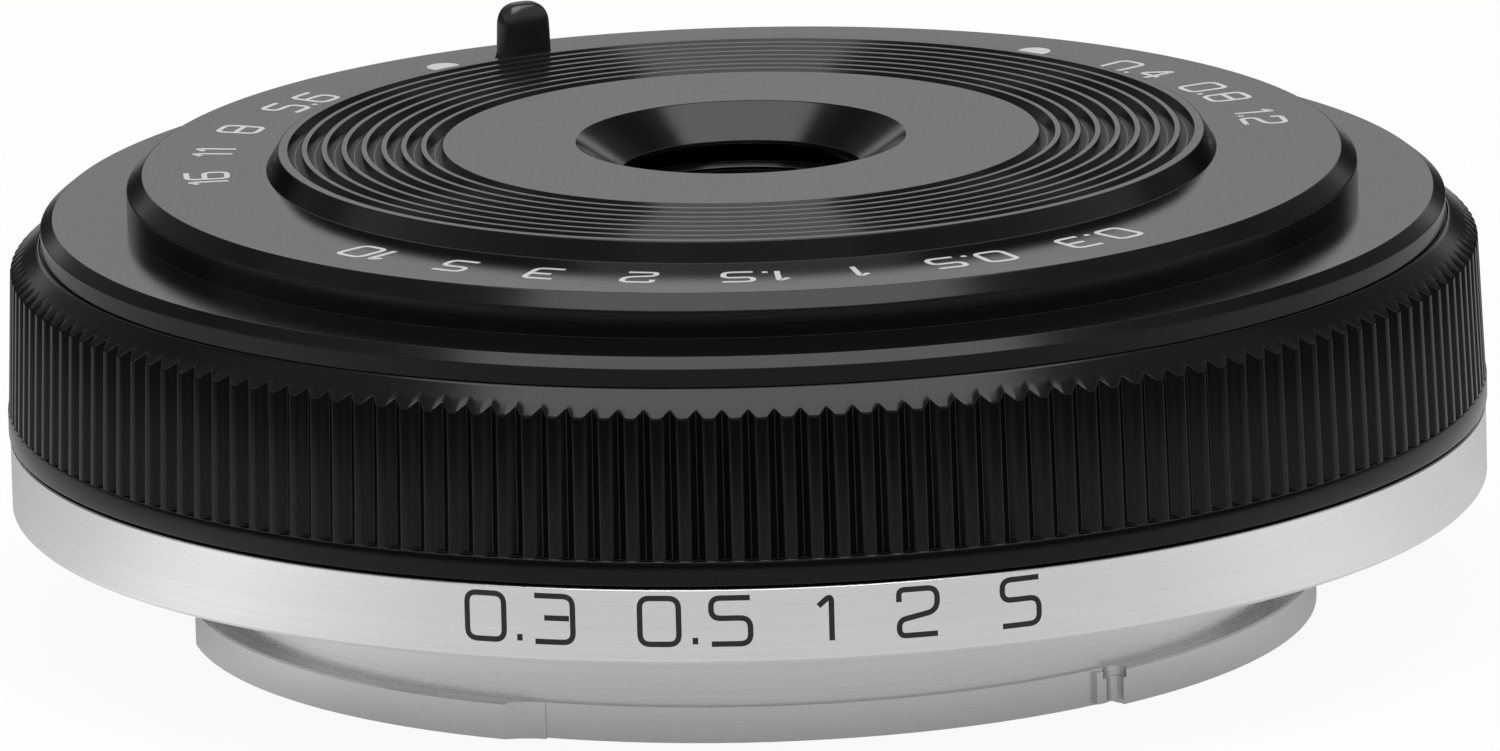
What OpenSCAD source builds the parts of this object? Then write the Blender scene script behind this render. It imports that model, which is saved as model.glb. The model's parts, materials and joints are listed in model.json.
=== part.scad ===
// Slim autofocus prime camera lens with a bayonet mount and a lever-worked front cover.
// Millimetres. The origin is on the optical axis at the mount flange, and +Z points out of the front.

/* [Outside] */
// Diameter over the silver ring and the foot of the grip
body_diameter = 60.2;
// Height of the silver ring above the flange
silver_height = 3.06;
// Height at which the ridges of the grip start
ridge_start_z = 4.2;
// Height of the plate around the name ring
plate_z = 12.0;
// Height of the name ring
name_z = 13.7;
// Height of the raised grooved disc
disc_z = 14.5;
// Height of the top of the cover lever
lever_z = 16.35;
// Number of ridges on the grip
ridge_count = 180; // [60:4:200]
// Number of thin crests on the grooved disc
crest_count = 8; // [3:1:8]

/* [Mount] */
// Outer radius of the bayonet tube
neck_radius = 22.15;
// Outer radius of the bayonet lugs
lug_radius = 23.0;
// Distance from the flange to the rear end
rear_depth = 5.17;
// Angle covered by each bayonet lug
lug_angle = 54; // [40:1:60]

/* [Motion] */
// Angle the cover lever turns from open to closed
lever_sweep = 52; // [30:1:52]
// Forward travel of the focusing group
focus_travel = 1.3;

/* [Hidden] */
$fn = 96;
hole_fn = 32;
sphere_fn = 400;
tiny = 0.02;
run_gap = 0.05;
// Overlap where two shapes of one solid meet
join = 0.1;
// How far a cutting shape runs past the material
past = 1;
// Chamfer on turned edges
edge = 0.15;

black_anodised = [0.09, 0.09, 0.095];
black_plastic = [0.07, 0.07, 0.075];
silver_metal = [0.80, 0.80, 0.80];
steel = [0.62, 0.63, 0.65];
brass = [0.78, 0.62, 0.34];
copper = [0.74, 0.42, 0.25];
gold = [0.88, 0.70, 0.34];
magnet_grey = [0.40, 0.40, 0.42];
board_green = [0.07, 0.22, 0.14];
glass_tint = [0.75, 0.82, 0.86, 0.4];

body_r = body_diameter / 2;

// Bayonet mount
bore_r = 20.9;
lug_rear_z = -rear_depth;
lug_thick = 1.5;
lug_front_z = lug_rear_z + lug_thick;
lug_ring_r = neck_radius + 0.25;
lug_centres = [-143.2, -23.2, 96.8];
lug_chamfer = 0.08;
lug_fillet_r = 2.7;
lug_fillet_sweep = 4.3;
lug_fillet_gap = 0.06;
lug_step_sweep = 2.7;
lug_step_r = lug_ring_r + 0.22;
lug_notch_r = 0.33;
lug_notch_turn = 0.75;
lug_pocket_r = 0.55;
lug_pocket_depth = 0.4;
flange_thick = 1.6;
flange_r = 28.2;
relief_r = 23.4;
relief_depth = 0.25;
screw_circle_r = 25.7;
screw_angles = [45, 135, 225, 315];
screw_r = 0.83;
screw_head_r = 1.55;
screw_play = 0.12;
screw_clearance = 0.2;
screw_sink = 0.08;
screw_cone = 0.77;
screw_tip_z = 6.2;
screw_slot = 0.32;
screw_slot_depth = 0.45;
lock_r = 1.5;
lock_depth = 1.2;
shim_z = flange_thick;
shim_thick = 0.15;

// Silver ring
lip_z = shim_z + shim_thick;
lip_thick = 0.8;
lip_r = 23.4;
seat_r = flange_r + 0.1;
silver_out_r = body_r - 0.06;

// Chassis
wall_out_r = 28.6;
wall_in_r = 27.4;
wall_z = lip_z + lip_thick;
bridge_z = 9.9;
bridge_thick = 0.9;
bridge_top = bridge_z + bridge_thick;
cell_bore_r = 9.45;
boss_r = 1.9;
boss_gap = 0.2;
post_circle_r = 18.6;
post_angles = [38, 142, 218, 322];
post_r = 1.5;
post_hole_r = 0.6 + tiny;
post_hole_top = 3.2;
board_post_r = 1.2;
small_hole_r = 0.5 + tiny;
chassis_screw_top = 6.6;
rear_frame_top = 0.1;
rod_circle_r = 13;
rod_angles = [45, 225];
rod_r = 0.75;
rod_hole_depth = 0.5;
base_screw_angles = [20, 110, 200, 290];
base_screw_circle_r = 24.6;
cell_screw_angles = [90, 210, 330];
cell_screw_circle_r = 11.6;
baffle_screw_angles = [50, 180, 310];
baffle_screw_circle_r = 17.6;
board_post_angles = [0, 150];
board_post_circle_r = 23.6;

// Grip
grip_z = silver_height + 0.12;
grip_bore_r = wall_out_r + run_gap;
ridge_foot_r = body_r - 0.04;
shoulder_r = 29.83;
shoulder_z = 9.9;
shoulder_top_r = 28.68;
shoulder_top_z = 10.87;
groove_depth = 0.36;
groove_half = 0.34;
ridge_taper = atan((ridge_foot_r - shoulder_r) / (shoulder_z - ridge_start_z));
groove_run = 9;

// Front barrel and name ring
plate_r = 28.55;
plate_chamfer_r = 28.05;
plate_wall_z = 11.6;
plate_in_r = 22.0;
riser_r = 25.0;
riser_wall_z = 13.1;
name_r = 24.35;
name_under_z = 12.9;
name_in_r = 18.4;
slot_in_r = 19.45;
slot_out_r = 21.2;
lever_r = 20.33;
lever_angle = 90 + lever_sweep / 2;
slot_spare = 4.6;
name_step_r = 23.5;
barrel_foot_r = 26.6;

// Grooved disc
disc_foot_r = 19.3;
disc_top_r = 18.8;
disc_under_z = 13.1;
crest_first_r = 12.88;
crest_pitch = 0.807;
crest_width = 0.2;
crest_depth = 0.36;
flat_out_r = 12.1;
cone_top_r = 6.72;
cone_low_r = 4.85;
cone_low_z = disc_under_z + 0.15;
groove_slope = 0.18;
pivot_hole_depth = 0.6;

// Cover mechanism
base_top = 11.65;
collar_r = 10.9;
collar_top = 12.42;
ring_bore_r = collar_r + run_gap;
ring_z = base_top + run_gap;
ring_top = 12.4;
ring_out_r = 13.5;
blade_circle_r = 12.2;
blade_thick = 0.16;
lower_blade_z = 12.48;
upper_blade_z = 12.74;
blade_sweep = lever_sweep / 2;
blade_disc_r = 5.5;
blade_overlap = 0.25;
pivot_r = 0.6;
pin_r = 0.5;
pin_near = 16;
pin_far = pin_near + lever_sweep;
slot_half = pin_r + run_gap;
ear_half = slot_half + 0.55;
ear_start = 1.0;
blade_hub_r = 1.5;
blade_arm = 2.2;
pin_spare = 0.04;
pivot_spare = 0.03;
lever_half = 1.08;
lever_thick = 1.44;
lever_flare_half = 1.4;
lever_flare_z = name_z + 0.45;
lever_foot_half = 1.7;
lever_foot_thick = 0.42;
lever_foot_depth = 2.0;
lever_screw_r = 0.4;
lever_screw_head_r = 0.75;
lever_screw_head = 0.32;
lever_screw_reach = 1.4;
lever_hole_spare = 0.2;
arm_half = 1.6;
arm_reach = 1.1;
arm_root = 0.3;
base_plate_r = 26.5;
spring_angle = -150;
spring_end_angle = -95;
spring_screw_r = 16.4;
spring_out_r = 14.1;
spring_gap = 0.06;
spring_thick = 0.5;
spring_tab = 4.2;
spring_head_r = 0.9;
spring_head = 0.18;
plate_head_r = 1.0;
plate_head_depth = 0.4;
plate_hole_r = 0.6;
small_screw_r = 0.5;
slot_near = 2 * blade_circle_r * sin(pin_near / 2) - 0.1;
slot_far = 2 * blade_circle_r * sin(pin_far / 2) + 0.1;

// Optics
cell_r = 9.4;
cell_flange_r = 12.9;
cell_top = 12.3;
cell_low = 5.0;
front_glass_r = 6.0;
mid_glass_r = 5.6;
focus_glass_r = 7.0;
rear_glass_r = 10.2;
stop_hole_r = 2.4;
stop_thick = 0.15;
front_seat_z = 11.9;
front_low_z = 10.9;
second_top_z = 9.9;
second_low_z = 9.3;
stop_top_z = 8.7;
third_top_z = 8.55;
third_low_z = 7.3;
fourth_top_z = 6.5;
fourth_low_z = 5.9;
cell_ring_r = 7.4;
cell_waist_r = 5.2;
cell_flange_low = 9.1;
cell_screw_head_r = 0.95;
cell_screw_head = 0.5;
cell_screw_bite = 0.4;

// Focus drive
focus_r = 8.6;
coil_in = 13.0;
coil_out = 14.6;
coil_wall = 0.7;
coil_half_y = 2.6;
coil_z = 2.0;
coil_height = 2.0;
yoke_low = 1.0;
yoke_high = 9.0;
yoke_in = 13.3;
yoke_leg = 1.0;
yoke_half_y = 2.3;
magnet_in = 15.6;
magnet_thick = 1.4;
magnet_half_y = 2.6;
magnet_height = 6.8;
yoke_back = 0.9;
focus_low_z = 1.5;
focus_top_z = 3.5;
focus_glass_low = 2.4;
focus_glass_top = 3.3;
sleeve_r = 1.5;
sensor_angle = 315;

// Board and rear
board_in_r = 20.6;
board_out_r = 27.1;
board_z = 7.2;
board_thick = 0.8;
baffle_z = -4.9;
baffle_thick = 0.8;
contact_r = 18.4;
contact_count = 10;
contact_step = 6.4;
contact_pin_r = 0.7;
block_out_r = 20.3;
block_in_r = 16.2;
block_half = 34;
block_top_z = -2.2;
leg_half = 2.5;
flex_thick = 0.12;
flex_half = 3.6;
flex_out_y = -22.4;
flex_bend_y = -18.3;
flex_end_y = -17.2;
rear_seat_z = -1.4;
rear_glass_low = -2.6;
rear_tube_r = 11.7;
rear_tube_z = -3.3;
rear_plate_z = -0.9;
rear_plate_r = 20.6;
rear_clear_r = 9.5;
rear_screw_head_r = 1.1;
baffle_post_r = 1.4;
baffle_hole_top = -2;
rod_low_z = -0.5;
usb_y = 14.45;
usb_half = 2.9;
usb_r = 1.6;
usb_wall = 0.3;
usb_low_z = -4.1;
usb_height = 7.2;
window_half_x = 12;
window_half_y = 8.5;

// A flat washer shape between two radii
module tube(outer, inner, low, high) {
  translate([0, 0, low])
    linear_extrude(high - low)
      difference() {
        circle(r = outer);
        circle(r = inner);
      }
}

// A straight rod along Z
module rod(radius, low, high, sides = hole_fn) {
  translate([0, 0, low])
    cylinder(r = radius, h = high - low, $fn = sides);
}

// Copies of one shape at several angles on a circle
module around(angles, radius) {
  for (angle = angles)
    rotate([0, 0, angle])
      translate([radius, 0, 0])
        children();
}

// A wedge outline from the axis, used to cut arcs
module wedge(from, to, reach) {
  middle = (from + to) / 2;
  polygon([
    [0, 0],
    reach * [cos(from), sin(from)],
    1.3 * reach * [cos((from + middle) / 2), sin((from + middle) / 2)],
    1.3 * reach * [cos(middle), sin(middle)],
    1.3 * reach * [cos((to + middle) / 2), sin((to + middle) / 2)],
    reach * [cos(to), sin(to)]
  ]);
}

// An arc-shaped slab between two radii and two angles
module arc_slab(outer, inner, from, to, low, high) {
  translate([0, 0, low])
    linear_extrude(high - low)
      intersection() {
        difference() {
          circle(r = outer);
          circle(r = inner);
        }
        wedge(from, to, outer * 1.2);
      }
}

// A cheese-head screw pointing towards +Z, with a cross recess
module cheese_screw(head_r, head_low, head_high, shank_r, tip) {
  difference() {
    union() {
      rod(head_r, head_low, head_high);
      rod(shank_r, head_high, tip);
    }
    for (turn = [0, 90])
      rotate([0, 0, turn])
        translate([-head_r * 0.6, -head_r * 0.12, head_low - tiny])
          cube([head_r * 1.2, head_r * 0.24, (head_high - head_low) / 2 + tiny]);
  }
}

// Height of a spherical cap of the given curve over a rim radius
function cap(curve, rim) = curve - sqrt(curve * curve - rim * rim);

// A lens element: each curve is positive where the face bulges outwards
module glass_element(radius, low, high, front_curve, rear_curve, clear) {
  front_sag = front_curve > 0 ? cap(front_curve, radius) : 0;
  rear_sag = rear_curve > 0 ? cap(rear_curve, radius) : 0;
  difference() {
    intersection() {
      translate([0, 0, low - rear_sag])
        cylinder(r = radius, h = high - low + front_sag + rear_sag, $fn = sphere_fn / 2);
      if (front_curve > 0)
        translate([0, 0, high + front_sag - front_curve])
          sphere(r = front_curve, $fn = sphere_fn);
      if (rear_curve > 0)
        translate([0, 0, low - rear_sag + rear_curve])
          sphere(r = rear_curve, $fn = sphere_fn);
    }
    if (front_curve < 0)
      translate([0, 0, high - front_curve - cap(-front_curve, clear)])
        sphere(r = -front_curve, $fn = sphere_fn);
    if (rear_curve < 0)
      translate([0, 0, low + rear_curve + cap(-rear_curve, clear)])
        sphere(r = -rear_curve, $fn = sphere_fn);
  }
}

// ---- Mount ----

module bayonet_lug(centre) {
  end = lug_angle / 2;
  intersection() {
    rotate_extrude()
      polygon([
        [lug_ring_r - join, lug_rear_z],
        [lug_radius, lug_rear_z],
        [lug_radius, lug_front_z - lug_chamfer],
        [lug_radius - lug_chamfer, lug_front_z],
        [lug_ring_r - join, lug_front_z]
      ]);
    translate([0, 0, lug_rear_z - past])
      linear_extrude(rear_depth)
        wedge(centre - end, centre + end + lug_fillet_sweep, lug_radius * 1.2);
  }
  // Low step beyond the notch at the left end
  arc_slab(lug_step_r, lug_ring_r - 2 * join, centre - end - lug_step_sweep, centre - end + lug_fillet_sweep,
           lug_rear_z + join, lug_front_z - join);
}

// The round end, the notch and the pocket that the cutters leave at the ends of a lug
module lug_cutters(centre) {
  end = lug_angle / 2;
  rotate([0, 0, centre + end + lug_fillet_sweep])
    translate([lug_ring_r + lug_fillet_gap + lug_fillet_r, 0, 0])
      rod(lug_fillet_r, lug_rear_z - past, lug_front_z + past);
  rotate([0, 0, centre - end - lug_notch_turn])
    translate([lug_ring_r + lug_fillet_gap + lug_notch_r, 0, 0]) {
      rod(lug_notch_r, lug_rear_z - past, lug_front_z + past);
      rod(lug_pocket_r - lug_fillet_gap, lug_front_z - lug_pocket_depth, lug_front_z + past);
    }
}

module bayonet_mount() {
  color(silver_metal)
    difference() {
      union() {
        rotate_extrude()
          polygon([
            [bore_r, lug_rear_z],
            [lug_ring_r - edge, lug_rear_z],
            [lug_ring_r, lug_rear_z + edge],
            [lug_ring_r, lug_front_z],
            [neck_radius, lug_front_z],
            [neck_radius, relief_depth],
            [relief_r, relief_depth],
            [relief_r, 0],
            [flange_r - edge, 0],
            [flange_r, edge],
            [flange_r, flange_thick],
            [bore_r, flange_thick]
          ]);
        for (centre = lug_centres)
          bayonet_lug(centre);
      }
      for (centre = lug_centres)
        lug_cutters(centre);
      around(screw_angles, screw_circle_r) {
        rod(screw_r + screw_play, -past, flange_thick + past);
        translate([0, 0, -tiny])
          cylinder(r1 = screw_head_r + screw_play, r2 = screw_r + screw_play,
                   h = screw_cone + screw_sink, $fn = hole_fn);
      }
      around([0], screw_circle_r)
        rod(lock_r, -past, lock_depth);
    }
}

module mount_screws() {
  color(steel)
    around(screw_angles, screw_circle_r)
      difference() {
        union() {
          translate([0, 0, screw_sink])
            cylinder(r1 = screw_head_r, r2 = screw_r, h = screw_cone, $fn = hole_fn);
          rod(screw_r, screw_sink + screw_cone, screw_tip_z);
        }
        for (turn = [0, 90])
          rotate([0, 0, turn])
            translate([-screw_r - tiny, -screw_slot / 2, 0])
              cube([2 * (screw_r + tiny), screw_slot, screw_slot_depth]);
      }
}

module mount_shim() {
  color(brass)
    difference() {
      tube(flange_r, lip_r, shim_z, shim_z + shim_thick);
      around(screw_angles, screw_circle_r)
        rod(screw_r + screw_clearance, shim_z - past, shim_z + past);
    }
}

module silver_ring() {
  color(silver_metal)
    difference() {
      rotate_extrude()
        polygon([
          [seat_r, 0],
          [silver_out_r - edge, 0],
          [silver_out_r, edge],
          [silver_out_r, silver_height - edge / 2],
          [silver_out_r - edge / 2, silver_height],
          [grip_bore_r, silver_height],
          [grip_bore_r, wall_z],
          [lip_r, wall_z],
          [lip_r, lip_z],
          [seat_r, lip_z]
        ]);
      around(screw_angles, screw_circle_r)
        rod(screw_r + screw_clearance, 0, wall_z + past);
    }
}

// ---- Body ----

module chassis() {
  foot = bridge_z + join;
  color(black_plastic)
    difference() {
      union() {
        tube(wall_out_r, wall_in_r, wall_z, bridge_top);
        tube(wall_in_r + 5 * join, cell_bore_r, bridge_z, bridge_top);
        around(screw_angles, screw_circle_r)
          rod(boss_r, wall_z + boss_gap, foot);
        around(post_angles, post_circle_r)
          rod(post_r, rear_frame_top, foot);
        around(board_post_angles, board_post_circle_r)
          rod(board_post_r, board_z + board_thick, foot);
      }
      around(screw_angles, screw_circle_r)
        rod(screw_r + tiny, wall_z - past, chassis_screw_top);
      around(post_angles, post_circle_r)
        rod(post_hole_r, rear_frame_top - past, post_hole_top);
      around(board_post_angles, board_post_circle_r)
        rod(small_hole_r, board_z, bridge_z);
      around(rod_angles, rod_circle_r)
        rod(rod_r, bridge_z - past, bridge_z + rod_hole_depth);
      around(base_screw_angles, base_screw_circle_r)
        rod(small_hole_r, bridge_z - past, bridge_top + past);
      around(cell_screw_angles, cell_screw_circle_r)
        rod(small_hole_r, bridge_z - past, bridge_top + past);
    }
}

module grip_groove() {
  translate([ridge_foot_r, 0, ridge_start_z])
    rotate([0, -ridge_taper, 0])
      linear_extrude(groove_run)
        polygon([
          [-groove_depth, 0],
          [groove_depth, -2 * groove_half],
          [groove_depth, 2 * groove_half]
        ]);
}

module grip_ring() {
  color(black_anodised)
    difference() {
      rotate_extrude()
        polygon([
          [grip_bore_r, grip_z],
          [body_r - edge, grip_z],
          [body_r, grip_z + edge],
          [body_r, ridge_start_z],
          [ridge_foot_r, ridge_start_z],
          [shoulder_r, shoulder_z],
          [shoulder_top_r, shoulder_top_z],
          [grip_bore_r, shoulder_top_z]
        ]);
      for (ridge = [0 : ridge_count - 1])
        rotate([0, 0, ridge * 360 / ridge_count])
          grip_groove();
    }
}

module front_barrel() {
  color(black_anodised)
    rotate_extrude()
      polygon([
        [plate_in_r, base_top + run_gap],
        [barrel_foot_r, base_top + run_gap],
        [barrel_foot_r, bridge_top],
        [plate_r, bridge_top],
        [plate_r, plate_wall_z],
        [plate_chamfer_r, plate_z],
        [plate_in_r, plate_z]
      ]);
}

module name_ring() {
  color(black_anodised)
    difference() {
      rotate_extrude()
        polygon([
          [name_step_r, plate_z],
          [riser_r, plate_z],
          [riser_r, riser_wall_z],
          [name_r, name_z],
          [name_in_r, name_z],
          [name_in_r, name_under_z],
          [name_step_r, name_under_z]
        ]);
      arc_slab(slot_out_r, slot_in_r, 90 - lever_sweep / 2 - slot_spare,
               90 + lever_sweep / 2 + slot_spare, name_under_z - past, name_z + past);
    }
}

module grooved_front_disc() {
  spigot_r = name_in_r - run_gap / 2;
  first = crest_first_r - crest_width / 2;
  color(black_anodised)
    difference() {
      rotate_extrude()
        polygon([
          [cone_low_r, disc_under_z],
          [spigot_r, disc_under_z],
          [spigot_r, name_z],
          [disc_foot_r, name_z],
          [disc_top_r, disc_z],
          [cone_top_r, disc_z],
          [cone_low_r, cone_low_z]
        ]);
      // The first dark groove, next to the flat centre
      rotate_extrude()
        polygon([
          [flat_out_r, disc_z + past],
          [flat_out_r, disc_z],
          [flat_out_r + groove_slope, disc_z - crest_depth],
          [first - crest_width / 2, disc_z - crest_depth],
          [first, disc_z],
          [first, disc_z + past]
        ]);
      // The dark grooves between the crests
      rotate_extrude()
        for (crest = [0 : crest_count - 2])
          translate([crest_first_r + crest * crest_pitch, disc_z])
            polygon([
              [crest_width / 2, past],
              [crest_width / 2, 0],
              [crest_width, -crest_depth],
              [crest_pitch - crest_width, -crest_depth],
              [crest_pitch - crest_width / 2, 0],
              [crest_pitch - crest_width / 2, past]
            ]);
      for (side = [-1, 1])
        translate([0, side * blade_circle_r, 0])
          rod(pivot_r, disc_under_z - past, disc_under_z + pivot_hole_depth);
    }
}

// ---- Front cover ----

// The lever seen along its radius: a round-topped finger with a flared foot
module lever_outline() {
  polygon([
    [-lever_flare_half, ring_top],
    [lever_flare_half, ring_top],
    [lever_flare_half, name_z],
    [lever_half, lever_flare_z],
    [lever_half, lever_z - lever_half],
    [-lever_half, lever_z - lever_half],
    [-lever_half, lever_flare_z],
    [-lever_flare_half, name_z]
  ]);
}

module cover_lever() {
  color(black_anodised)
    rotate([0, 0, lever_angle])
      translate([lever_r, 0, 0])
        difference() {
          union() {
            translate([-lever_thick / 2, 0, 0])
              rotate([90, 0, 90])
                linear_extrude(lever_thick)
                  lever_outline();
            translate([-lever_thick / 2, 0, lever_z - lever_half])
              rotate([0, 90, 0])
                cylinder(r = lever_half, h = lever_thick);
            // Foot below the name ring, on the arm of the drive ring
            translate([-lever_foot_depth / 2, -lever_foot_half, ring_top])
              cube([lever_foot_depth, 2 * lever_foot_half, lever_foot_thick]);
          }
          rod(lever_screw_r + tiny, ring_top - past, ring_top + lever_screw_reach + lever_hole_spare);
        }
}

module lever_screw() {
  color(steel)
    rotate([0, 0, lever_angle])
      translate([lever_r, 0, 0])
        cheese_screw(lever_screw_head_r, ring_z, ring_z + lever_screw_head,
                     lever_screw_r, ring_top + lever_screw_reach);
}

module cover_drive_ring() {
  arm_start = ring_out_r - arm_root;
  color(steel)
    difference() {
      union() {
        tube(ring_out_r, ring_bore_r, ring_z, ring_top);
        rotate([0, 0, lever_angle])
          translate([arm_start, -arm_half, ring_z])
            cube([lever_r + arm_reach - arm_start, 2 * arm_half, ring_top - ring_z]);
      }
      rotate([0, 0, lever_angle])
        translate([lever_r, 0, 0]) {
          rod(lever_screw_r + tiny, ring_z - past, ring_top + past);
          rod(lever_screw_head_r + run_gap / 2, ring_z - past, ring_z + lever_screw_head);
        }
      around([pin_far - 90, pin_far + 90], blade_circle_r)
        rod(pin_r, ring_z - past, ring_top + past);
    }
}

module cover_drive_pins() {
  color(steel) {
    around([pin_far - 90], blade_circle_r)
      rod(pin_r, ring_z, lower_blade_z + blade_thick + pin_spare);
    around([pin_far + 90], blade_circle_r)
      rod(pin_r, ring_z, upper_blade_z + blade_thick + pin_spare);
  }
}

// One blade at rest, with its pivot on the -Y side and its slot on a line through the pivot
module cover_blade(low) {
  slot_turn = pin_far / 2;
  translate([0, -blade_circle_r, low])
    linear_extrude(blade_thick)
      difference() {
        union() {
          rotate(blade_sweep)
            difference() {
              union() {
                translate([0, blade_circle_r])
                  circle(r = blade_disc_r);
                translate([-blade_arm, 0])
                  square([blade_arm + blade_overlap, blade_circle_r]);
                circle(r = blade_hub_r);
              }
              // The straight edge where the two blades meet
              translate([blade_overlap, blade_hub_r])
                square(2 * blade_circle_r);
            }
          circle(r = blade_hub_r);
          rotate(slot_turn)
            hull() {
              translate([ear_start, 0])
                circle(r = ear_half, $fn = hole_fn);
              translate([slot_far, 0])
                circle(r = ear_half, $fn = hole_fn);
            }
        }
        circle(r = pivot_r + run_gap, $fn = hole_fn);
        rotate(slot_turn) {
          translate([slot_near, -slot_half])
            square([slot_far - slot_near, 2 * slot_half]);
          translate([slot_near, 0])
            circle(r = slot_half, $fn = hole_fn);
          translate([slot_far, 0])
            circle(r = slot_half, $fn = hole_fn);
        }
      }
}

module cover_blade_lower() {
  color(black_plastic)
    cover_blade(lower_blade_z);
}

module cover_blade_upper() {
  color(black_plastic)
    rotate([0, 0, 180])
      cover_blade(upper_blade_z);
}

module cover_pivot_posts() {
  post_top = disc_under_z + pivot_hole_depth;
  color(steel) {
    translate([0, -blade_circle_r, 0])
      rod(pivot_r, lower_blade_z - pivot_spare, post_top);
    translate([0, blade_circle_r, 0])
      rod(pivot_r, upper_blade_z - pivot_spare, post_top);
  }
}

module cover_base_plate() {
  color(black_plastic)
    difference() {
      union() {
        tube(base_plate_r, cell_bore_r, bridge_top, base_top);
        tube(collar_r, cell_bore_r, base_top - join, collar_top);
      }
      around(base_screw_angles, base_screw_circle_r) {
        rod(plate_hole_r, bridge_top - past, base_top + past);
        rod(plate_head_r + run_gap, base_top - plate_head_depth, base_top + past);
      }
      around(cell_screw_angles, cell_screw_circle_r)
        rod(small_hole_r, bridge_top - past, bridge_top + cell_screw_bite + join);
      around([spring_angle], spring_screw_r)
        rod(lever_screw_r + tiny, bridge_top - past, base_top + past);
    }
}

module cover_detent_spring() {
  color(steel)
    difference() {
      union() {
        arc_slab(spring_out_r, ring_out_r + spring_gap, spring_angle, spring_end_angle,
                 ring_z, ring_z + spring_thick);
        rotate([0, 0, spring_angle])
          translate([ring_out_r + join, -1, ring_z - run_gap])
            cube([spring_tab, 2, spring_thick + run_gap]);
      }
      around([spring_angle], spring_screw_r)
        rod(small_hole_r - tiny, ring_z - past, ring_z + past);
    }
}

module spring_screw() {
  head_low = ring_z + spring_thick;
  color(steel)
    around([spring_angle], spring_screw_r)
      mirror([0, 0, 1])
        cheese_screw(spring_head_r, -head_low - spring_head, -head_low, lever_screw_r,
                     -bridge_top - join);
}

module base_plate_screws() {
  color(steel)
    around(base_screw_angles, base_screw_circle_r)
      mirror([0, 0, 1])
        cheese_screw(plate_head_r, -base_top, -base_top + plate_head_depth, small_screw_r, -bridge_z);
}

// ---- Front optics ----

module front_lens_cell() {
  color(black_plastic)
    difference() {
      rotate_extrude()
        polygon([
          [front_glass_r + tiny, second_low_z],
          [front_glass_r + tiny, front_seat_z],
          [cell_ring_r + tiny, front_seat_z],
          [cell_ring_r + tiny, cell_top],
          [cell_r, cell_top],
          [cell_r, bridge_z],
          [cell_flange_r, bridge_z],
          [cell_flange_r, cell_flange_low],
          [cell_r, cell_flange_low],
          [cell_r, cell_low],
          [mid_glass_r + tiny, cell_low],
          [mid_glass_r + tiny, stop_top_z],
          [cell_waist_r, stop_top_z],
          [cell_waist_r, second_low_z]
        ]);
      around(cell_screw_angles, cell_screw_circle_r)
        rod(small_hole_r, cell_flange_low - past, bridge_z + past);
      // Room for the guide rods beside the flange
      around(rod_angles, rod_circle_r)
        rod(rod_r + 0.4, cell_flange_low - past, bridge_z + past);
    }
}

module cell_screws() {
  color(steel)
    around(cell_screw_angles, cell_screw_circle_r)
      cheese_screw(cell_screw_head_r, cell_flange_low - cell_screw_head, cell_flange_low,
                   small_screw_r, bridge_top + cell_screw_bite);
}

module front_retaining_ring() {
  clear = front_glass_r - 0.7;
  color(black_anodised)
    rotate_extrude()
      polygon([
        [front_glass_r, front_seat_z],
        [cell_ring_r, front_seat_z],
        [cell_ring_r, cell_top],
        [clear, cell_top],
        [clear - 0.2, front_seat_z + 0.18],
        [front_glass_r - join, front_seat_z + join]
      ]);
}

module front_lens_element() {
  color(glass_tint)
    glass_element(front_glass_r, front_low_z, front_seat_z, 40, -14, 4.6);
}

module front_spacer() {
  color(black_plastic)
    rotate_extrude()
      polygon([
        [front_glass_r, second_top_z],
        [front_glass_r, front_low_z],
        [front_glass_r - 0.7, front_low_z],
        [front_glass_r - 0.7, second_top_z + 0.25]
      ]);
}

module second_lens_element() {
  color(glass_tint)
    glass_element(front_glass_r, second_low_z, second_top_z, 20, -30, 5.1);
}

module aperture_stop() {
  color(black_plastic)
    tube(mid_glass_r, stop_hole_r, third_top_z, third_top_z + stop_thick);
}

module third_lens_element() {
  color(glass_tint)
    glass_element(mid_glass_r, third_low_z, third_top_z, -25, -40, 4.6);
}

module middle_spacer() {
  color(black_plastic)
    rotate_extrude()
      polygon([
        [mid_glass_r, fourth_top_z],
        [mid_glass_r, third_low_z],
        [mid_glass_r - 0.7, third_low_z],
        [mid_glass_r - 0.7, fourth_top_z + 0.3]
      ]);
}

module fourth_lens_element() {
  color(glass_tint)
    glass_element(mid_glass_r, fourth_low_z, fourth_top_z, 16, 30, 5);
}

module cell_retaining_ring() {
  color(black_anodised)
    rotate_extrude()
      polygon([
        [mid_glass_r, fourth_low_z],
        [mid_glass_r, cell_low + join],
        [mid_glass_r - 0.9, cell_low + join],
        [mid_glass_r - 0.7, fourth_low_z - 0.25]
      ]);
}

// ---- Focus group ----

module focus_lens_element() {
  color(glass_tint)
    glass_element(focus_glass_r, focus_glass_low, focus_glass_top, -22, 40, 6.2);
}

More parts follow.
